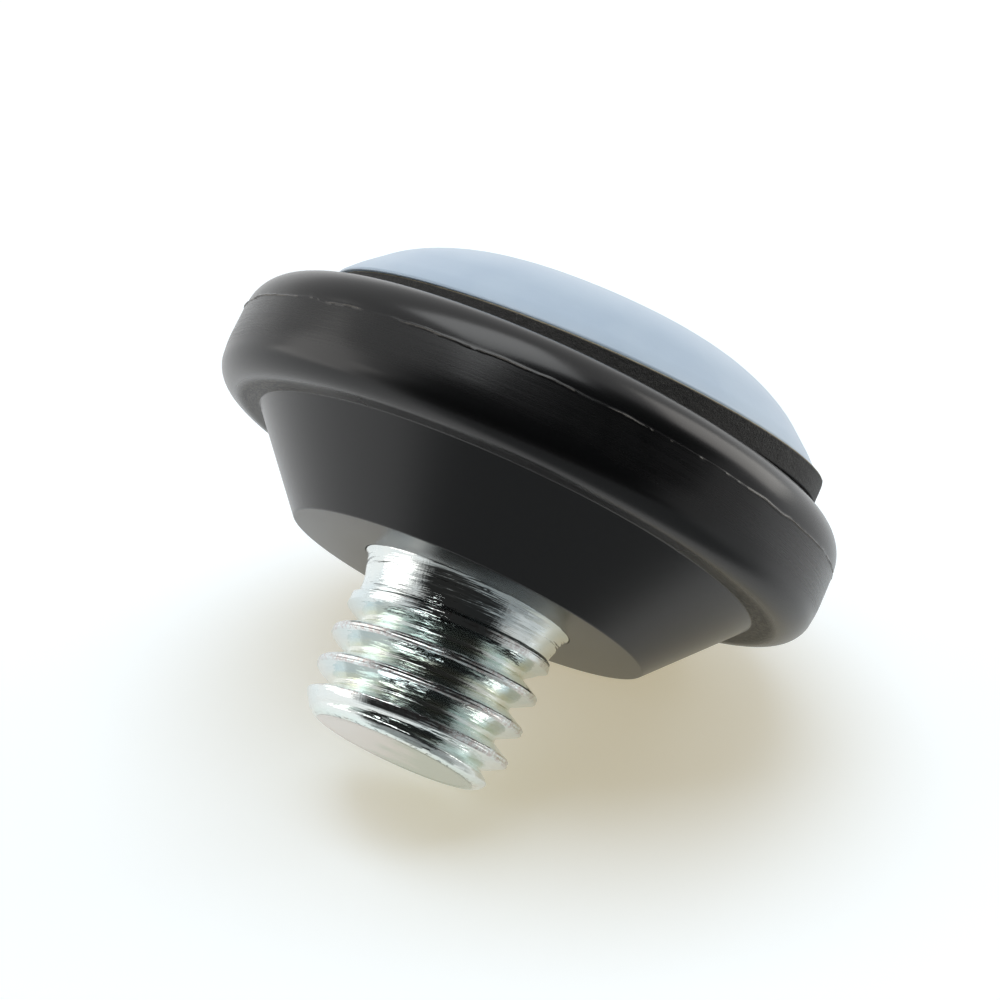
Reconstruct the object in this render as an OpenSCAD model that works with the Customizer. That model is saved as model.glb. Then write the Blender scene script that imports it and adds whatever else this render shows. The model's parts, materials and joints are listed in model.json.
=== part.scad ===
// Threaded furniture glide: a moulded body on a steel stud, with a rubber damping pad
// and a low domed slide cap. It stands on its slide cap, and the stud points up.
// The pad and the cap sit a little off centre and tilted in the body's recess, as assembled.

/* [Body] */
// Diameter of the rim at its widest
rim_d = 23.3; // [23:0.1:30]
// Height of the body, from its lowest ring up to the seating face
body_h = 7.6; // [6.6:0.1:12]
// Height of the rim, from the body's lowest ring up to the rim's upper ring
rim_h = 4.35; // [4:0.05:5]
// Height of the mould's parting line over the body's lowest ring
parting_h = 1.55; // [1:0.05:2]
// Radial step at the parting line
parting_step = 0.1; // [0:0.01:0.2]
// Diameter of the seating face at the top of the cone
face_d = 13.7; // [11:0.1:17]
// Diameter of the foot of the cone, on the rim's upper ring
cone_foot_d = 19.4; // [16:0.1:20]
// Radius of the rounded shoulder under the parting line
shoulder_r = 1.7; // [1.2:0.1:2]
// Radius of the rounded edge between the rim's band and its upper ring
rim_edge_r = 1.1; // [0.4:0.1:1.2]

/* [Recess and adhesive] */
// Radial room round the pad in the body's recess, before the pad is shifted
recess_room = 0.4; // [0.4:0.05:0.6]
// Depth of the recess under the body's lowest ring
recess_depth = 0.45; // [0.3:0.05:0.9]
// Least thickness of the adhesive bed between the pad and the recess
glue_t = 0.2; // [0.05:0.05:0.4]
// Radial inset of the adhesive bed from the pad's edge
glue_inset = 0.4; // [0.2:0.1:2]

/* [Pad and slide cap] */
// Diameter of the damping pad
pad_d = 18.9; // [15:0.1:19]
// Thickness of the damping pad
pad_t = 0.86; // [0.7:0.02:1.4]
// Radial inset of the slide cap's edge from the pad's edge
cap_inset = 0.1; // [0:0.05:0.5]
// Height of the slide cap
cap_h = 2.75; // [2.2:0.05:3.5]
// Upright edge of the slide cap, next to the pad
cap_edge_h = 0.1; // [0.05:0.05:0.4]
// Radial width of the slide cap's bevel
bevel_w = 1.3; // [0.8:0.1:1.5]
// Slope of the slide cap's bevel
bevel_angle = 41; // [36:1:42]
// Tilt of the pad and the slide cap
seat_tilt = 3.5; // [0:0.1:3.5]
// Direction in which the tilted stack drops, counted from +X towards +Y
tilt_heading = 117; // [0:1:360]
// Shift of the pad off the stud's axis, towards -X
pad_shift = 0.5; // [0:0.05:0.5]
// Shift of the slide cap off the stud's axis, towards -X
cap_shift = 0.28; // [0:0.02:0.4]

/* [Stud] */
// Major diameter of the thread, as made
thread_d = 7.8; // [5.7:0.1:9.8]
// Length of the stud above the seating face
stud_l = 6.25; // [4:0.05:30]
// Radial flare of the stud's smooth foot at the seating face, over the thread
foot_flare = 0.08; // [0.04:0.02:0.6]
// Height of the flared foot
foot_h = 1.2; // [0.8:0.1:2]
// Chamfer at the stud's free end
tip_chamfer = 0.6; // [0.3:0.1:1]
// Width across flats of the anchoring head inside the body
head_af = 13; // [10.5:0.1:13]
// Thickness of the anchoring head
head_h = 2.8; // [2:0.1:3]
// Depth of the anchoring head below the seating face
head_depth = 2.4; // [2.2:0.1:2.6]

/* [Hidden] */
$fn = 96;
mould_gap = 0.02;  // clearance between the stud and the plastic moulded round it
cut = 1;           // how far a shape runs past the face that it opens, or into what it joins

rim_r = rim_d / 2;
band_r = rim_r - parting_step;
pad_r = pad_d / 2;
cap_r = pad_r - cap_inset;
recess_r = pad_r + recess_room;

// The slide cap's round runs on smoothly from its bevel and ends in its flat middle.
bevel_h = bevel_w * tan(bevel_angle);
bevel_top_r = cap_r - bevel_w;
cap_round_r = (cap_h - cap_edge_h - bevel_h) / (1 - cos(bevel_angle));
cap_flat_r = bevel_top_r - cap_round_r * sin(bevel_angle);

// The tilted stack turns about the middle of its upper face. The slide cap's round touches
// the floor beside the flat, and the pad's highest edge sets how high the recess is.
stack_h = cap_h + pad_t;
cap_drop = (cap_flat_r - cap_shift * cos(tilt_heading)) * sin(seat_tilt);
pad_rise = (pad_r + pad_shift * cos(tilt_heading)) * sin(seat_tilt);
stack_z = cap_round_r + (stack_h - cap_round_r) * cos(seat_tilt) + cap_drop;
recess_z = stack_z + pad_rise + glue_t;
body_z = recess_z - recess_depth;
face_z = body_z + body_h;

// A quarter of a round edge: the lower or upper outer quarter of a circle
module round_quarter(r, upper) {
    intersection() {
        circle(r);
        translate([0, upper ? 0 : -r]) square(r);
    }
}

// Half the section of the body's outside, with heights from its lowest ring
module body_section() {
    shoulder_foot_r = band_r - shoulder_r;
    edge_foot_r = rim_r - rim_edge_r;
    band_top_h = rim_h - rim_edge_r;

    // rounded shoulder, from the lowest ring up into the band
    square([shoulder_foot_r, band_top_h]);
    translate([0, shoulder_r]) square([band_r, band_top_h - shoulder_r]);
    translate([shoulder_foot_r, shoulder_r]) round_quarter(shoulder_r, false);
    // band from the parting line up, and its rounded upper edge
    translate([0, parting_h]) square([rim_r, band_top_h - parting_h]);
    translate([0, parting_h]) square([edge_foot_r, rim_h - parting_h]);
    translate([edge_foot_r, band_top_h]) round_quarter(rim_edge_r, true);
    // cone up to the seating face
    polygon([
        [0, band_top_h],
        [cone_foot_d / 2, band_top_h],
        [cone_foot_d / 2, rim_h],
        [face_d / 2, body_h],
        [0, body_h],
    ]);
}

// The stud, with heights from the seating face. It is grown by gap all round to make the
// space that it is moulded in.
module stud_solid(gap) {
    thread_r = thread_d / 2 + gap;
    foot_r = thread_r + foot_flare;
    // shank below the face, flared foot, thread at its major diameter, chamfered end
    rotate_extrude()
        polygon([
            [0, -head_depth - cut],
            [foot_r, -head_depth - cut],
            [foot_r, 0],
            [thread_r, foot_h],
            [thread_r, stud_l - tip_chamfer],
            [thread_r - tip_chamfer, stud_l],
            [0, stud_l],
        ]);
    // six-sided anchoring head
    translate([0, 0, -head_depth - head_h - gap])
        cylinder(r = (head_af / 2 + gap) / cos(30), h = head_h + 2 * gap, $fn = 6);
}

// Places what is drawn round the middle of the tilted stack's upper face
module in_stack(shift) {
    translate([0, 0, stack_z])
        rotate([0, 0, tilt_heading])
            rotate([0, seat_tilt, 0])
                rotate([0, 0, -tilt_heading])
                    translate([-shift, 0, 0])
                        children();
}

module body() {
    color("#1c1d1f")
        translate([0, 0, body_z])
            difference() {
                rotate_extrude() body_section();
                translate([0, 0, -cut]) cylinder(r = recess_r, h = recess_depth + cut);
                translate([0, 0, body_h]) stud_solid(mould_gap);
            }
}

module threaded_stud() {
    color("#b9bbbd") translate([0, 0, face_z]) stud_solid(0);
}

module damping_pad() {
    color("#2c2c2b")
        in_stack(pad_shift)
            translate([0, 0, -pad_t]) cylinder(r = pad_r, h = pad_t);
}

module slide_cap() {
    color("#c2d1df")
        in_stack(cap_shift)
            translate([0, 0, -stack_h])
                rotate_extrude() {
                    square([cap_flat_r, cap_h]);
                    // round between the flat and the bevel
                    intersection() {
                        translate([cap_flat_r, cap_round_r]) circle(cap_round_r);
                        square([bevel_top_r, cap_h]);
                    }
                    // bevel and upright edge
                    polygon([
                        [0, cap_h - cap_edge_h - bevel_h],
                        [bevel_top_r, cap_h - cap_edge_h - bevel_h],
                        [cap_r, cap_h - cap_edge_h],
                        [cap_r, cap_h],
                        [0, cap_h],
                    ]);
                }
}

module glue_bed() {
    color("#8e9aa6")
        difference() {
            translate([-pad_shift, 0, body_z - cut])
                cylinder(r = pad_r - glue_inset, h = recess_depth + cut);
            // everything below the pad's upper face
            in_stack(0)
                translate([-rim_d, -rim_d, -2 * cut - recess_depth])
                    cube([2 * rim_d, 2 * rim_d, 2 * cut + recess_depth]);
        }
}

body();
threaded_stud();
damping_pad();
slide_cap();
glue_bed();
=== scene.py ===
"""Looks of a threaded furniture glide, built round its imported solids.

Lengths are in millimetres, and a piece is scaled to metres once, when it is finished. Only the
lamps and the floor are given in metres. The stud points up along +Z, and the object stands on
its slide cap at z = 0.
"""

import json
from math import atan2, cos, degrees, hypot, pi, radians, sin, tan

import bmesh
import bpy
from mathutils import Matrix, Vector, noise


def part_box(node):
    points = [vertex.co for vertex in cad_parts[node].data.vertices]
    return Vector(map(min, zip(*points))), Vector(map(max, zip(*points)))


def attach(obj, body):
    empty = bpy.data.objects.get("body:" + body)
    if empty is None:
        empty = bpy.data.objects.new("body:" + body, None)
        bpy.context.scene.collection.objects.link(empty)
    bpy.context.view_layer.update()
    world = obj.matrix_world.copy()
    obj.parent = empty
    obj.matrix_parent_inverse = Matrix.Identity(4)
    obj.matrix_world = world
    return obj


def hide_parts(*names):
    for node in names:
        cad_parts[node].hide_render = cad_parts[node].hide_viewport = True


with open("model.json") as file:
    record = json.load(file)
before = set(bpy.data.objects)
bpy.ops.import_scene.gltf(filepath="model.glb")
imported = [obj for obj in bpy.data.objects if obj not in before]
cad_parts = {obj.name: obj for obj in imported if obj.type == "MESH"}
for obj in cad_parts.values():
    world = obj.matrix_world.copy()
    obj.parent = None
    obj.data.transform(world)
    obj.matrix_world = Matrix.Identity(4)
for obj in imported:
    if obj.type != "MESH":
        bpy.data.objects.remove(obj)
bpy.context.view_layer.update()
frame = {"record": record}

MM = 0.001
TURN = 2 * pi
FINE, PLAIN = 720, 360  # steps in one turn of a disc

# ---------------------------------------------------------------- sizes from the solids
seat_z = next(m["pos_m"][2] for m in frame["record"]["mounts"] if m["name"] == "seating_face") / MM
ring_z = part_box("body")[0].z / MM
rim_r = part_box("body")[1].x / MM
tip_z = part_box("threaded_stud")[1].z / MM
glue_top_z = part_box("glue_bed")[1].z / MM
body_h = seat_z - ring_z

# Body, with heights from its lowest ring: seating face, cone and rim, and the flash that stands
# out at the parting line
FACE_R, CONE_FOOT_R = 6.85, 9.7
RIM_H, RIM_TOP_R, BAND_TOP_H = 4.35, 11.47, 2.9
FLASH_H, FLASH_HALF_H, FLASH_OUT = 1.6, 0.045, 0.05
PARTING_STEP = 0.1

# The glued stack of pad and slide cap: its tilt, its heading, and how far each is off centre
SEAT_TILT = radians(3.5)
TILT_HEADING = radians(117)
PAD_R, PAD_T, PAD_SHIFT = 9.45, 0.86, 0.5
CAP_R, CAP_H, CAP_SHIFT = 9.35, 2.75, 0.28
CAP_EDGE_H, BEVEL_W, BEVEL_ANGLE = 0.1, 1.3, radians(41)
BEVEL_H = BEVEL_W * tan(BEVEL_ANGLE)
CAP_ROUND_R = (CAP_H - CAP_EDGE_H - BEVEL_H) / (1 - cos(BEVEL_ANGLE))
CAP_FLAT_R = CAP_R - BEVEL_W - CAP_ROUND_R * sin(BEVEL_ANGLE)
STACK_Z = (CAP_ROUND_R + (CAP_H + PAD_T - CAP_ROUND_R) * cos(SEAT_TILT)
           + (CAP_FLAT_R - CAP_SHIFT * cos(TILT_HEADING)) * sin(SEAT_TILT))

# Room round the pad in the recess, and how far the adhesive stays inside the pad's edge
RECESS_ROOM, GLUE_INSET = 0.4, 0.4

# Thread, stud and its anchoring head, and the clearance of the plastic moulded round it
PITCH, CREST_R, ROOT_R = 1.25, 3.86, 3.08
FOOT_R = 3.98
HEAD_FLATS, HEAD_H, HEAD_DEPTH = 13.0, 2.8, 2.4
MOULD_GAP = 0.02


# ---------------------------------------------------------------- making meshes
def everything(mesh):
    return mesh.verts[:] + mesh.edges[:] + mesh.faces[:]


def outline(mesh, corners):
    """Draws an outline of (radius, height, fillet radius) corners in the plane y = 0."""
    points = [mesh.verts.new((corner[0], 0, corner[1])) for corner in corners]
    for a, b in zip(points, points[1:]):
        mesh.edges.new((a, b))
    for here, before, corner, after in zip(points[1:], corners, corners[1:], corners[2:]):
        if len(corner) < 3:
            continue
        toward = Vector(before[:2]) - Vector(corner[:2])
        away = Vector(after[:2]) - Vector(corner[:2])
        bend = pi - toward.angle(away)
        fillet = corner[2]
        # a wider fillet gets more steps
        steps = max(3, round(degrees(bend) * (3 + 2 * min(fillet, 3)) / 30))
        bmesh.ops.bevel(mesh, geom=[here], offset=fillet * tan(bend / 2), offset_type="OFFSET",
                        segments=steps, profile=0.5, affect="VERTICES", material=-1)


def divide_wall(mesh, radius, cuts):
    """Divides the upright line of an outline at that radius."""
    wall = [e for e in mesh.edges if min(v.co.x for v in e.verts) > radius - 0.01]
    bmesh.ops.subdivide_edges(mesh, edges=wall, cuts=cuts)


def spin_round(mesh, steps, turns=1, rise=0.0):
    """Spins what is drawn in the plane y = 0 round the Z axis, rising by rise in each turn.

    It spins one sector of a turn and repeats it, which is quicker than one long spin.
    """
    sectors = 12
    sector = TURN / sectors
    for angle, count, repeat in ((sector, steps // sectors, False),
                                 (TURN * turns - sector, sectors * turns - 1, True)):
        bmesh.ops.spin(mesh, geom=everything(mesh), cent=(0, 0, 0), axis=(0, 0, 1),
                       dvec=(0, 0, rise * angle / TURN / count), angle=angle, steps=count,
                       use_merge=False, use_duplicate=repeat)


def revolve(mesh, steps):
    """Spins what is drawn in the plane y = 0 once round the Z axis, into a closed shell."""
    spin_round(mesh, steps)
    bmesh.ops.remove_doubles(mesh, verts=mesh.verts, dist=1e-4)
    bmesh.ops.recalc_face_normals(mesh, faces=mesh.faces)


def in_stack(shift):
    """The place of what is drawn round the middle of the tilted stack's upper face."""
    return (Matrix.Translation((0, 0, STACK_Z)) @ Matrix.Rotation(TILT_HEADING, 4, "Z")
            @ Matrix.Rotation(SEAT_TILT, 4, "Y") @ Matrix.Rotation(-TILT_HEADING, 4, "Z")
            @ Matrix.Translation((-shift, 0, 0)))


def ripple(vertex, scale, seed):
    """Smooth noise of about -1 to 1 at a vertex, the same on every run."""
    return noise.fractal(vertex.co * scale + Vector((seed, 0, 0)), 1.0, 2.0, 3)


def hexagon_reach(x, y, flats):
    """Distance from the axis to a hexagon of that width across flats, in the direction of x, y."""
    sixth = TURN / 6
    return flats / 2 / cos((atan2(y, x) % sixth) - sixth / 2)


def into_scene(name, data):
    made = bpy.data.objects.new(name, data)
    bpy.context.scene.collection.objects.link(made)
    return made


def piece(name, mesh, finish, node, smooth_angle=40):
    """Scales a finished mesh to metres and sets it in the scene in place of a CAD node."""
    bmesh.ops.scale(mesh, vec=(MM, MM, MM), verts=mesh.verts)
    data = bpy.data.meshes.new(name)
    mesh.to_mesh(data)
    mesh.free()
    data.set_sharp_from_angle(angle=radians(smooth_angle))
    data.materials.append(finish)
    made = into_scene(name, data)
    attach(made, "root")
    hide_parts(node)
    return made


# ---------------------------------------------------------------- shader arithmetic
class Field:
    """A socket that varies over a surface, on which Python's arithmetic works."""

    def __init__(self, finish, socket):
        self.finish, self.socket = finish, socket

    def maths(self, operation, other):
        return self.finish.node("ShaderNodeMath", {0: self, 1: other}, operation=operation)

    def __add__(self, other):
        return self.maths("ADD", other)

    __radd__ = __add__

    def __sub__(self, other):
        return self.maths("SUBTRACT", other)

    def __rsub__(self, other):
        return self.finish.node("ShaderNodeMath", {0: other, 1: self}, operation="SUBTRACT")

    def __mul__(self, other):
        return self.maths("MULTIPLY", other)

    __rmul__ = __mul__

    def __truediv__(self, other):
        return self.maths("DIVIDE", other)

    def __pow__(self, power):
        return self.maths("POWER", power)


class Finish:
    """The node tree of one material or of the world."""

    def __init__(self, owner):
        owner.use_nodes = True
        self.owner, self.tree = owner, owner.node_tree
        self.tree.nodes.clear()

    def node(self, kind, inputs=None, output=0, **settings):
        """Adds a node: its settings are set first, then the values or links of its sockets."""
        made = self.tree.nodes.new(kind)
        for key, value in settings.items():
            setattr(made, key, value)
        for key, value in (inputs or {}).items():
            socket = made.inputs[key]
            if isinstance(value, Field):
                self.tree.links.new(value.socket, socket)
            else:
                socket.default_value = (*value, 1) if socket.type == "RGBA" else value
        return Field(self, made.outputs[output]) if made.outputs else None

    def place(self):
        """Object coordinates in millimetres."""
        metres = self.node("ShaderNodeTexCoord", output="Object")
        return self.node("ShaderNodeVectorMath", {0: metres, "Scale": 1 / MM}, operation="SCALE")

    def parts(self, vector):
        """The x, y and z of a vector."""
        made = self.node("ShaderNodeSeparateXYZ", {0: vector}).socket.node
        return [Field(self, socket) for socket in made.outputs]

    def join(self, x, y, z):
        return self.node("ShaderNodeCombineXYZ", {0: x, 1: y, 2: z})

    def dot(self, vector, direction):
        return self.node("ShaderNodeVectorMath", {0: vector, 1: tuple(direction)}, output="Value",
                         operation="DOT_PRODUCT")

    def rays(self, *kinds):
        """For each kind of ray, 1 where such a ray looks and 0 elsewhere."""
        made = self.node("ShaderNodeLightPath").socket.node
        return [Field(self, made.outputs[f"Is {kind} Ray"]) for kind in kinds]

    def noise(self, vector, scale, detail, roughness, distortion=0.0):
        return self.node("ShaderNodeTexNoise", {"Vector": vector, "Scale": scale, "Detail": detail,
                                                "Roughness": roughness, "Distortion": distortion})

    def ease(self, value, low, high, to_low=0.0, to_high=1.0):
        """A smooth step from to_low to to_high as value goes from low to high."""
        return self.node("ShaderNodeMapRange", {"Value": value, "From Min": low, "From Max": high,
                                                "To Min": to_low, "To Max": to_high},
                         interpolation_type="SMOOTHSTEP")

    def within(self, value, low, full_low, full_high, high):
        """1 from full_low to full_high, easing to 0 at low and high."""
        return self.ease(value, low, full_low) * self.ease(value, high, full_high)

    def mix(self, factor, a, b):
        """Mixes two colours."""
        return self.node("ShaderNodeMix", {0: factor, 6: a, 7: b}, output=2, data_type="RGBA")

    def bump(self, height, distance):
        """Bump from a height of 0 to 1 that stands for that distance in millimetres."""
        return self.node("ShaderNodeBump", {"Height": height, "Distance": distance * MM,
                                            "Strength": 1.0})

    def surface(self, **sockets):
        """Ends the tree in a Principled shader with those sockets, written with _ for a space."""
        values = {name.replace("_", " "): value for name, value in sockets.items()}
        shader = self.node("ShaderNodeBsdfPrincipled", values)
        self.node("ShaderNodeOutputMaterial", {"Surface": shader})
        return self.owner


def finish_for(name):
    return Finish(bpy.data.materials.new(name))


# ---------------------------------------------------------------- finishes
def moulded_plastic():
    """Black plastic: glossy shoulder, satin band, smooth cone, and a coarse ring at its foot."""
    f = finish_for("moulded_black_plastic")
    vector = f.place()
    x, y, z = f.parts(vector)
    radius = (x * x + y * y) ** 0.5
    height = z - ring_z
    around_x, around_y = x / radius, y / radius
    streaks = f.noise(f.join(around_x * 5, around_y * 5, (z + radius * 0.35) * 14), 1.0, 2, 0.6)
    scratches = f.noise(f.join(around_x * 9, around_y * 9, radius * 6), 1.0, 3, 0.65, 1.2)
    scuffs = f.noise(vector, 0.9, 4, 0.6)
    grain = f.noise(vector, 5.5, 5, 0.7, 0.6)

    on_band = f.within(height, 1.5, 1.7, 3.0, 3.4)
    on_ring = f.within(height, 4.1, 4.2, 4.36, 4.4) * f.ease(radius, 10.75, 10.25)
    on_face = f.ease(height, body_h - 0.06, body_h - 0.02)
    on_flash = (f.ease(radius, rim_r - 0.045, rim_r - 0.035)
                * f.within(height, FLASH_H - 0.12, FLASH_H - 0.08, FLASH_H + 0.08, FLASH_H + 0.12)
                * f.ease(scuffs, 0.35, 0.6, 0.2, 1.0))
    # the coarse ring has pale dust, except towards -Y, where the darker clean ring is painted shade
    dust_with_painted_front_shade = f.ease(around_y, -0.9, -0.45)

    dust = f.mix(f.ease(grain, 0.42, 0.56) * f.ease(scratches, 0.42, 0.5) * dust_with_painted_front_shade,
                 (0.003, 0.003, 0.0026), (0.062, 0.055, 0.042))
    colour = f.mix(on_ring, (0.0032, 0.0035, 0.0038), dust)
    colour = f.mix(on_band * f.ease(scuffs, 0.35, 0.75, 0, 0.6), colour, (0.008, 0.0082, 0.0086))
    # the flash is painted pale: a painted highlight where its thin rough ridge catches the light
    colour = f.mix(on_flash, colour, (0.13, 0.12, 0.105))
    gloss = (0.24 + on_band * f.ease(streaks, 0.3, 0.7, 0.01, 0.06) + on_ring * dust_with_painted_front_shade * 0.25
             + on_face * 0.02 + on_flash * 0.4)
    relief = (on_band * (streaks * 0.07 + scuffs * 0.12)
              + on_ring * dust_with_painted_front_shade * (grain * 0.9 + scratches * 1.6))
    return f.surface(Base_Color=colour, Roughness=gloss, Specular_IOR_Level=0.5,
                     Normal=f.bump(relief, 0.02))


def zinc_plate():
    """Bright zinc over rolled steel, with fine drawn streaks.

    It is faintly yellow and green in the thread's roots, and green and pink on the free end.
    """
    f = finish_for("zinc_plate")
    vector = f.place()
    x, y, z = f.parts(vector)
    radius = (x * x + y * y) ** 0.5
    turn, across = f.parts(f.node("ShaderNodeUVMap", uv_map="helix"))[:2]
    streaks = f.noise(f.join(turn * 18, across * 12, 0.0), 1.0, 3, 0.6)
    chatter = f.noise(f.join(turn * 240, across * 4, 0.0), 1.0, 1, 0.5)
    grooves = f.noise(f.join(turn * 9, across * 6, 0.0), 1.0, 2, 0.5)
    sheared = f.noise(f.join(x * 1.5, y * 9, 0.0), 1.0, 3, 0.6)
    patches = f.noise(vector, 0.55, 3, 0.5)
    specks = f.noise(vector, 5.5, 4, 0.7)

    in_root = f.ease(radius, 3.5, 3.1) * f.ease(z, seat_z + 0.6, seat_z + 1.6)
    on_crest = (f.ease(radius, CREST_R - 0.1, CREST_R - 0.05)
                * f.ease(z, seat_z + 1.0, seat_z + 1.4))
    on_end = f.ease(z, tip_z - 0.03, tip_z - 0.01)
    # painted shade: a speckled dark line round the edge of the free end, for the shadow and dark
    # reflection there
    edge_painted_shade = (f.ease(z, tip_z - 0.1, tip_z - 0.03) * f.ease(radius, 2.8, 2.88)
              * f.ease(specks, 0.55, 0.6))

    tint = f.mix(f.ease(patches, 0.4, 0.62), (0.88, 0.86, 0.70), (0.74, 0.90, 0.86))
    sheen = f.mix(f.ease(x - patches * 5, -3.3, -1.7), (0.44, 0.49, 0.39), (0.71, 0.66, 0.63))
    colour = f.mix(f.ease(patches, 0.35, 0.65), (0.71, 0.79, 0.80), (0.81, 0.85, 0.83))
    colour = f.mix(in_root * 0.55, colour, tint)
    colour = f.mix(on_crest * f.ease(specks, 0.42, 0.62), colour, (0.60, 0.55, 0.535))
    colour = f.mix(edge_painted_shade, colour, (0.10, 0.10, 0.095))
    colour = f.mix(on_end * 0.9, colour, sheen)
    gloss = (0.05 + (1 - on_end) * f.ease(streaks, 0.35, 0.7, -0.02, 0.05) + in_root * 0.05
             + on_end * 0.1 + on_crest * 0.13)
    relief = ((1 - on_end) * (streaks * 0.55 + chatter * 0.1 + grooves * 1.2)
              + on_end * sheared * 0.1)
    return f.surface(Base_Color=colour, Metallic=1.0, Roughness=gloss, Normal=f.bump(relief, 0.03))


def cut_rubber():
    """Black rubber with a finely grained cut edge, and a pale line along its lower corner."""
    f = finish_for("cut_rubber")
    vector = f.place()
    grain = f.noise(vector, 9.0, 5, 0.75)
    specks = f.noise(vector, 16.0, 2, 0.5)
    down = in_stack(0).to_3x3() @ Vector((0, 0, -1))
    below_top = f.dot(vector, down) - down.z * STACK_Z
    # a pale line along the pad's lower corner, next to the slide cap
    pale_corner_line = f.ease(below_top, PAD_T - 0.07, PAD_T - 0.03)
    colour = f.mix(f.ease(grain, 0.4, 0.7), (0.010, 0.0095, 0.0088), (0.025, 0.0235, 0.021))
    colour = f.mix(f.ease(specks, 0.66, 0.74), colour, (0.10, 0.095, 0.09))
    colour = f.mix(pale_corner_line * f.ease(grain, 0.3, 0.6, 0.5, 1.0), colour, (0.27, 0.24, 0.165))
    return f.surface(Base_Color=colour, Roughness=0.6, Specular_IOR_Level=0.45,
                     Normal=f.bump(grain, 0.05))


def slide_plastic():
    """Pale blue-grey PTFE, smooth, and soft where light enters its edges."""
    f = finish_for("slide_ptfe")
    vector = f.place()
    haze = f.noise(vector, 0.5, 3, 0.5)
    skived = f.noise(vector, 3.0, 4, 0.6)
    colour = f.mix(f.ease(haze, 0.3, 0.7), (0.39, 0.49, 0.605), (0.415, 0.515, 0.625))
    return f.surface(Base_Color=colour, Roughness=0.34, Specular_IOR_Level=0.5,
                     Subsurface_Weight=0.25, Subsurface_Scale=1.2 * MM,
                     Subsurface_Radius=(1.0, 1.0, 1.0), Normal=f.bump(skived, 0.004))


def cured_adhesive():
    """Cured adhesive, cloudy and uneven, with pale bubbles."""
    f = finish_for("cured_adhesive")
    vector = f.place()
    cloud = f.noise(vector, 1.6, 4, 0.6)
    bubbles = f.noise(vector, 7.0, 2, 0.5)
    colour = f.mix(f.ease(cloud, 0.35, 0.7), (0.13, 0.145, 0.155), (0.19, 0.215, 0.235))
    colour = f.mix(f.ease(bubbles, 0.64, 0.72), colour, (0.28, 0.31, 0.335))
    return f.surface(Base_Color=colour, Roughness=0.22, Normal=f.bump(cloud, 0.05))


# ---------------------------------------------------------------- pieces
def make_body():
    """The moulded body, with its parting line, its recess and the pocket round the stud's head."""
    mesh = bmesh.new()
    head_top = body_h - HEAD_DEPTH
    head_foot = head_top - HEAD_H
    pocket_r = (HEAD_FLATS / 2 + MOULD_GAP) / cos(TURN / 12)
    bore_r = FOOT_R + MOULD_GAP
    recess_r, recess_h = PAD_R + RECESS_ROOM, glue_top_z - ring_z
    flash_foot_r = rim_r - FLASH_OUT
    outline(mesh, [
        # pocket and bore
        (0, head_foot - MOULD_GAP), (pocket_r, head_foot - MOULD_GAP),
        (pocket_r, head_top + MOULD_GAP), (bore_r, head_top + MOULD_GAP),
        (bore_r, body_h - 0.03), (bore_r + 0.02, body_h),
        # seating face, cone, ring at its foot, and band
        (FACE_R, body_h, 0.13), (CONE_FOOT_R, RIM_H, 0.12),
        (RIM_TOP_R, RIM_H, 1.05), (rim_r - 0.015, BAND_TOP_H, 3.0),
        # flash
        (flash_foot_r + 0.004, FLASH_H + 2 * FLASH_HALF_H),
        (flash_foot_r, FLASH_H + FLASH_HALF_H), (rim_r, FLASH_H),
        (flash_foot_r - 0.015, FLASH_H - FLASH_HALF_H),
        (flash_foot_r - 0.022, FLASH_H - 2 * FLASH_HALF_H),
        # shoulder, lowest ring and recess
        (rim_r - PARTING_STEP, 0, 1.5), (recess_r, 0, 0.07), (recess_r, recess_h), (0, recess_h),
    ])
    revolve(mesh, FINE)
    # the pocket's wall becomes six-sided, and the flash ragged and wavy
    for v in mesh.verts:
        reach = hypot(v.co.x, v.co.y)
        off_flash = abs(v.co.z - FLASH_H)
        if abs(reach - pocket_r) < 0.01 and head_foot - 0.1 < v.co.z < head_top + 0.1:
            v.co.xy *= hexagon_reach(v.co.x, v.co.y, HEAD_FLATS + 2 * MOULD_GAP) / reach
        elif reach > flash_foot_r - 0.06 and off_flash < 0.11:
            if off_flash < 0.01:
                ragged = 0.35 + 0.9 * ripple(v, 0.5, 3) + 0.8 * max(0.0, ripple(v, 3.5, 9))
                flash_r = flash_foot_r + 0.045 * min(1.0, max(0.1, ragged))
                v.co.xy *= flash_r / reach
            v.co.z += 0.05 * ripple(v, 0.7, 17)
    bmesh.ops.translate(mesh, vec=(0, 0, ring_z), verts=mesh.verts)
    return piece("moulded_body", mesh, moulded_plastic(), "body")


def thread_outline(mesh):
    """One pitch of the rolled thread, from root to root, with a small seam in its crest."""
    middle = PITCH / 2
    half = [(ROOT_R, 0), (ROOT_R, 0.09, 0.09),
            (CREST_R - 0.07, middle - 0.15, 0.09), (CREST_R, middle - 0.075, 0.04)]
    seam = (CREST_R - 0.03, middle, 0.03)
    outline(mesh, [*half, seam, *((r, PITCH - z, *fillet) for r, z, *fillet in reversed(half))])
    flanks = [e for e in mesh.edges if e.calc_length() > 0.2]
    bmesh.ops.subdivide_edges(mesh, edges=flanks, cuts=5)


def read_curve(curve, z):
    """Reads the radius at the height z from a smooth curve through (height, radius) points."""
    slopes = [(r1 - r0) / (z1 - z0) for (z0, r0), (z1, r1) in zip(curve, curve[1:])]
    slopes = [(a + b) / 2 for a, b in zip([0, *slopes], [*slopes, slopes[-1]])]
    for (z0, r0), (z1, r1), s0, s1 in zip(curve, curve[1:], slopes, slopes[1:]):
        if z <= z1:
            span, t = z1 - z0, max(0.0, (z - z0) / (z1 - z0))
            return (r0 * (1 + 2 * t) * (1 - t) ** 2 + r1 * t * t * (3 - 2 * t)
                    + span * t * (1 - t) * (s0 * (1 - t) - s1 * t))
    return curve[-1][1]


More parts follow.
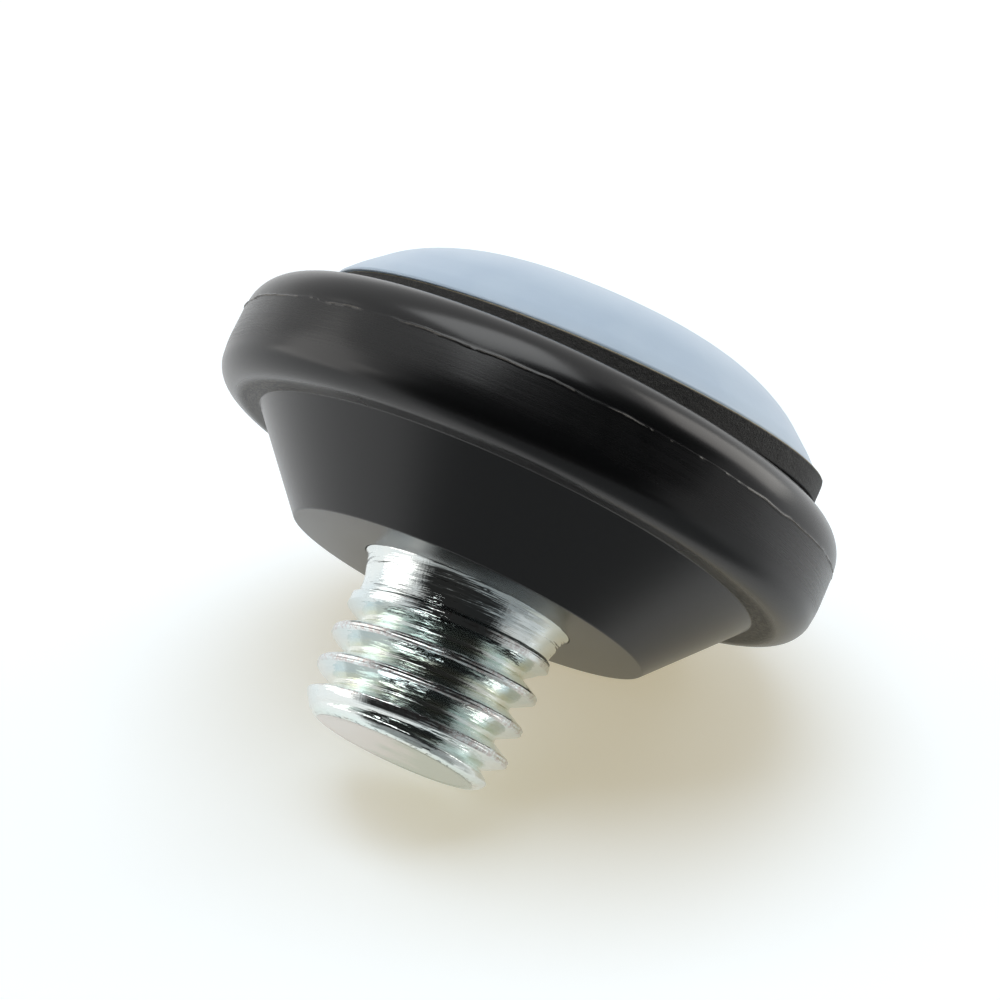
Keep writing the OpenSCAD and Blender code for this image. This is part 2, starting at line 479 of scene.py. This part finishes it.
# Least and greatest radius of the stud at heights above the seating face: the flared foot with a
# faint ridge, where the thread runs out, and the rounded free end
STUD_LEAST = [(0, FOOT_R), (0.12, 3.88), (0.34, 3.775), (0.58, 3.715), (0.66, 3.685), (0.95, 3.6),
              (1.2, 3.57), (1.5, 3.54), (1.9, ROOT_R), (5.6, ROOT_R), (5.9, 3.4), (6.1, 3.28),
              (6.2, 3.14), (6.25, 2.94)]
STUD_MOST = [(0, FOOT_R), (0.12, 3.89), (0.34, 3.78), (0.58, 3.72), (0.66, 3.69), (0.95, 3.63),
             (1.15, 3.76), (2.0, 3.76), (2.4, CREST_R), (5.1, CREST_R), (5.52, 3.74), (5.83, 3.54),
             (6.0, 3.42), (6.12, 3.31), (6.2, 3.16), (6.25, 2.95)]

# Radius of each ring of the stud's free end, from its edge inwards, and its step along Z: the
# face lies a little lower inside its edge
END_RINGS = ((2.80, 0), (2.77, -0.012), (2.7, 0), (1.6, 0), (0.5, 0))


def ring_of(mesh, edges, radius, step):
    """Grows a ring of edges into one more ring, of that radius and moved along Z by step.

    The radius is a number, or a function of x and y.
    """
    grown = bmesh.ops.extrude_edge_only(mesh, edges=edges)["geom"]
    corners = {v for v in grown if isinstance(v, bmesh.types.BMVert)}
    for v in corners:
        reach = radius(v.co.x, v.co.y) if callable(radius) else radius
        v.co.xy *= reach / hypot(v.co.x, v.co.y)
        v.co.z += step
    return [e for e in grown if isinstance(e, bmesh.types.BMEdge) and set(e.verts) <= corners]


def make_stud():
    """The stud: rolled thread, smooth flared foot, rounded end, and six-sided anchoring head."""
    mesh = bmesh.new()
    start = mesh.verts.layers.float.new("start")
    length, below = tip_z - seat_z, 0.3  # reach of the threaded mesh over and under the seat
    crest_z, turns = 0.62, 7  # height of a crest at +X, and the thread's turns
    first_root = crest_z - PITCH / 2
    first_root -= PITCH * (1 + (first_root + below) // PITCH)
    thread_outline(mesh)
    for v in mesh.verts:
        v[start] = v.co.z
    bmesh.ops.translate(mesh, vec=(0, 0, first_root), verts=mesh.verts)
    spin_round(mesh, 192, turns, PITCH)
    # where a point is on the thread: turns along it, and share of the pitch across it
    helix = mesh.loops.layers.uv.new("helix")
    for face in mesh.faces:
        for loop in face.loops:
            across = loop.vert[start]
            loop[helix].uv = ((loop.vert.co.z - first_root - across) / PITCH, across / PITCH)
    bmesh.ops.remove_doubles(mesh, verts=mesh.verts, dist=2e-4)
    for z, facing in ((-below, -1), (length, 1)):
        cut = bmesh.ops.bisect_plane(mesh, geom=everything(mesh), plane_co=(0, 0, z),
                                     plane_no=(0, 0, facing), clear_outer=True)["geom_cut"]
        for v in {v for e in cut if isinstance(e, bmesh.types.BMEdge) for v in e.verts}:
            v.co.z = z
    for v in mesh.verts:
        z, reach = v.co.z, hypot(v.co.x, v.co.y)
        v.co.xy *= min(max(reach, read_curve(STUD_LEAST, z)), read_curve(STUD_MOST, z)) / reach
    bmesh.ops.remove_doubles(mesh, verts=mesh.verts, dist=5e-4)
    # flat free end
    edge = [e for e in mesh.edges if e.is_boundary and e.verts[0].co.z > 0]
    for radius, step in END_RINGS:
        edge = ring_of(mesh, edge, radius, step)
    bmesh.ops.edgeloop_fill(mesh, edges=edge)
    # shank and anchoring head, hidden in the plastic. The thread starts less than a turn under
    # the cut, so over the last quarter turn its lower edge rises, and these rise with it.
    edge = [e for e in mesh.edges if e.is_boundary and e.verts[0].co.z < 0]
    edge = ring_of(mesh, edge, FOOT_R, below - HEAD_DEPTH)
    for step in (0, -HEAD_H):
        edge = ring_of(mesh, edge, lambda x, y: hexagon_reach(x, y, HEAD_FLATS), step)
    bmesh.ops.edgeloop_fill(mesh, edges=edge)
    bmesh.ops.recalc_face_normals(mesh, faces=mesh.faces)
    bmesh.ops.translate(mesh, vec=(0, 0, seat_z), verts=mesh.verts)
    return piece("zinc_stud", mesh, zinc_plate(), "threaded_stud", 50)


def make_pad():
    """The punched rubber disc between the body and the slide cap."""
    mesh = bmesh.new()
    outline(mesh, [(0, -PAD_T), (PAD_R, -PAD_T, 0.05), (PAD_R, 0, 0.05), (0, 0)])
    divide_wall(mesh, PAD_R, 9)
    revolve(mesh, FINE)
    # the punched wall is a little uneven
    for v in mesh.verts:
        reach = hypot(v.co.x, v.co.y)
        if reach > PAD_R - 0.06:
            v.co.xy *= 1 - (0.012 + 0.012 * ripple(v, 3.0, 5)) / reach
    bmesh.ops.transform(mesh, matrix=in_stack(PAD_SHIFT), verts=mesh.verts)
    return piece("rubber_pad", mesh, cut_rubber(), "damping_pad")


def make_cap():
    """The low domed slide cap: flat middle, round, crowned bevel and narrow upright edge."""
    mesh = bmesh.new()
    low, high = -PAD_T - CAP_H, -PAD_T
    edge_foot = high - CAP_EDGE_H
    knee_r = CAP_FLAT_R + CAP_ROUND_R * tan(BEVEL_ANGLE / 2)
    crown_r, crown = 8.85, 0.05  # where the bevel is crowned, and by how much
    outline(mesh, [
        (0, low), (knee_r, low, CAP_ROUND_R),
        (crown_r + crown * sin(BEVEL_ANGLE),
         edge_foot - (CAP_R - crown_r) * tan(BEVEL_ANGLE) - crown * cos(BEVEL_ANGLE), 3.0),
        (CAP_R, edge_foot, 0.12), (CAP_R, high, 0.03), (0, high),
    ])
    revolve(mesh, PLAIN)
    bmesh.ops.transform(mesh, matrix=in_stack(CAP_SHIFT), verts=mesh.verts)
    return piece("ptfe_slide_cap", mesh, slide_plastic(), "slide_cap")


def make_glue():
    """The adhesive bed, a wedge between the recess and the tilted pad."""
    mesh = bmesh.new()
    bed_r, foot = PAD_R - GLUE_INSET, ring_z - 1
    stray = 0.22  # how far its edge wanders in and out
    outline(mesh, [(0, foot), (bed_r, foot), (bed_r, glue_top_z), (0, glue_top_z)])
    divide_wall(mesh, bed_r, 14)
    revolve(mesh, PLAIN)
    for v in mesh.verts:
        reach = hypot(v.co.x, v.co.y)
        if reach > bed_r - 0.01:
            v.co.xy *= 1 + stray * min(1, max(-1, ripple(v, 1.4, 21))) / reach
    bmesh.ops.translate(mesh, vec=(-PAD_SHIFT, 0, 0), verts=mesh.verts)
    # cut off along the pad's upper face
    plane = in_stack(0)
    cut = bmesh.ops.bisect_plane(mesh, geom=everything(mesh), plane_co=plane.translation,
                                 plane_no=plane.to_3x3() @ Vector((0, 0, 1)),
                                 clear_inner=True)["geom_cut"]
    bmesh.ops.edgeloop_fill(mesh, edges=[e for e in cut if isinstance(e, bmesh.types.BMEdge)])
    bmesh.ops.recalc_face_normals(mesh, faces=mesh.faces)
    return piece("adhesive_bed", mesh, cured_adhesive(), "glue_bed")


pieces = [make_body(), make_stud(), make_pad(), make_cap(), make_glue()]

# ---------------------------------------------------------------- camera, floor and light
# The glide lies on its side on a pale floor, with its rim on it and the stud's tip close to it.
# The floor's direction comes from the (radius, height) of a point on each.
RIM_TOUCH, TIP_TOUCH = (11.6, ring_z + 3.2), (CREST_R, tip_z - 0.6)
TOUCH_HEADING = radians(115.5)
lean = atan2(RIM_TOUCH[0] - TIP_TOUCH[0], TIP_TOUCH[1] - RIM_TOUCH[1])
outward = Vector((cos(TOUCH_HEADING), sin(TOUCH_HEADING), 0))
floor_up = -(outward * cos(lean) + Vector((0, 0, sin(lean))))
touch = outward * RIM_TOUCH[0] + Vector((0, 0, RIM_TOUCH[1]))

camera_at = Vector((0.373, -197.348, seat_z + 32.655))
right = Vector((-0.90675, -0.07626, -0.41472)).normalized()
back = Vector((0, -0.98351, 0.18086)).normalized()
right = (right - back * right.dot(back)).normalized()
up = back.cross(right)

camera_data = bpy.data.cameras.new("camera")
camera_data.lens, camera_data.sensor_width = 201.4, 36
camera_data.clip_start, camera_data.clip_end = 0.01, 10
camera = into_scene("camera", camera_data)
camera.matrix_world = (Matrix.Translation(camera_at * MM)
                       @ Matrix((right, up, back)).transposed().to_4x4())
bpy.context.scene.camera = camera

# Along the floor, towards the camera and to its right
near = (back - floor_up * back.dot(floor_up)).normalized()
side = floor_up.cross(near)

# In metres: what the lamps face, their distance from it, and the floor's radius
middle = Vector((0, 0, ring_z + 3)) * MM
LAMP_DISTANCE = 0.5
FLOOR_R = 0.14


def heading(turn, rise):
    """A direction by its turn from the camera's side, to the right, and its rise over the floor."""
    turn, rise = radians(turn), radians(rise)
    return (near * cos(turn) + side * sin(turn)) * cos(rise) + floor_up * sin(rise)


def softbox(name, turn, rise, width, height, glow, colour):
    """A soft lamp that faces the object. Its glow is by area, so its size doesn't change that."""
    data = bpy.data.lights.new(name, "AREA")
    data.shape, data.size, data.size_y = "RECTANGLE", width, height
    data.energy, data.color = glow * width * height * pi, colour
    lamp = into_scene(name, data)
    aim = heading(turn, rise)
    across = floor_up.cross(aim).normalized()
    lamp.matrix_world = (Matrix.Translation(middle + aim * LAMP_DISTANCE)
                         @ Matrix((across, aim.cross(across), aim)).transposed().to_4x4())


def studio_world():
    """White where it is seen, and dim on the camera's side for light and mirrors.

    Elsewhere they find it white below and light grey above. The dim side has a faint glow low
    at its right.
    """
    world = bpy.data.worlds.new("studio")
    bpy.context.scene.world = world
    f = Finish(world)
    direction = f.node("ShaderNodeTexCoord", output="Generated")
    rising = f.dot(direction, floor_up)
    room = f.mix(f.ease(rising, -0.05, 0.12), (1, 1, 1), (0.72, 0.72, 0.72))
    shade = f.mix(f.ease(rising, -0.2, 0.3), (0.08, 0.08, 0.08), (0.02, 0.02, 0.02))
    glow = f.ease(f.dot(direction, heading(90, 0)), 0.45, 0.85) * f.ease(rising, 0.32, 0.12)
    shade = f.mix(glow, shade, (0.5, 0.5, 0.5))
    # all shade within 67 degrees of a direction near the camera's, and none past 88
    facing = f.dot(direction, heading(14, 12))
    room = f.mix(f.ease(facing, cos(radians(67)), cos(radians(88))), shade, room)
    seen, through = f.rays("Camera", "Transmission")
    colour = f.mix(seen.maths("MAXIMUM", through), room, (1, 1, 1))
    background = f.node("ShaderNodeBackground", {"Color": colour, "Strength": 1.0})
    f.node("ShaderNodeOutputWorld", {"Surface": background})


def pale_floor():
    """A round pale floor under the object, clear from below, that fades out at its edge.

    Mirrors see it darker near the object, in painted shade, and mostly clear past it. Where it
    is seen, a faint warm glow of its own fills the shadow.
    """
    mesh = bmesh.new()
    bmesh.ops.create_circle(mesh, cap_ends=True, segments=96, radius=FLOOR_R)
    data = bpy.data.meshes.new("floor")
    mesh.to_mesh(data)
    mesh.free()
    f = finish_for("pale_floor")
    metres = f.node("ShaderNodeTexCoord", output="Object")
    distance = f.node("ShaderNodeVectorMath", {0: metres}, output="Value", operation="LENGTH")
    from_below = f.node("ShaderNodeNewGeometry", output="Backfacing")
    seen, mirrored, through = f.rays("Camera", "Glossy", "Transmission")
    hidden = from_below.maths("MAXIMUM", f.ease(distance, 0.08, 0.135))
    hidden = hidden.maths("MAXIMUM", mirrored * f.ease(distance, 0.006, 0.024, 0.0, 0.77))
    # near the object, mirrors see the floor in painted shade
    beside = mirrored * f.ease(distance, 0.008, 0.030, 1.0, 0.0)
    tinted = f.node("ShaderNodeBsdfDiffuse", {
        "Color": f.mix(beside, (0.60, 0.72, 0.89), (0.51, 0.61, 0.75))})
    glow = f.node("ShaderNodeEmission", {
        "Color": f.mix(beside, (0.455, 0.395, 0.26), (0.40, 0.35, 0.23)), "Strength": 1.0})
    glowing = f.node("ShaderNodeAddShader", {0: tinted, 1: glow})
    plain = f.node("ShaderNodeBsdfDiffuse", {"Color": (0.88, 0.88, 0.88)})
    shown = seen.maths("MAXIMUM", mirrored).maths("MAXIMUM", through)
    shader = f.node("ShaderNodeMixShader", {0: shown, 1: plain, 2: glowing})
    clear = f.node("ShaderNodeBsdfTransparent")
    shader = f.node("ShaderNodeMixShader", {0: hidden, 1: shader, 2: clear})
    f.node("ShaderNodeOutputMaterial", {"Surface": shader})
    data.materials.append(f.owner)
    floor = into_scene("floor", data)
    # it touches the pieces at their lowest point
    lowest = min(v.co.dot(floor_up) for made in pieces for v in made.data.vertices)
    under = touch * MM + floor_up * (lowest - touch.dot(floor_up) * MM)
    floor.matrix_world = (Matrix.Translation(under)
                          @ floor_up.to_track_quat("Z", "Y").to_matrix().to_4x4())


softbox("top_softbox", -170, 82, 0.42, 0.42, 2.8, (0.97, 0.99, 1.0))
softbox("left_softbox", -98, 14, 0.38, 0.34, 1.05, (1.0, 0.975, 0.94))
softbox("right_softbox", 114, 14, 0.30, 0.42, 2.1, (1.0, 0.97, 0.92))
studio_world()
pale_floor()

bpy.context.scene.view_settings.view_transform = "Standard"
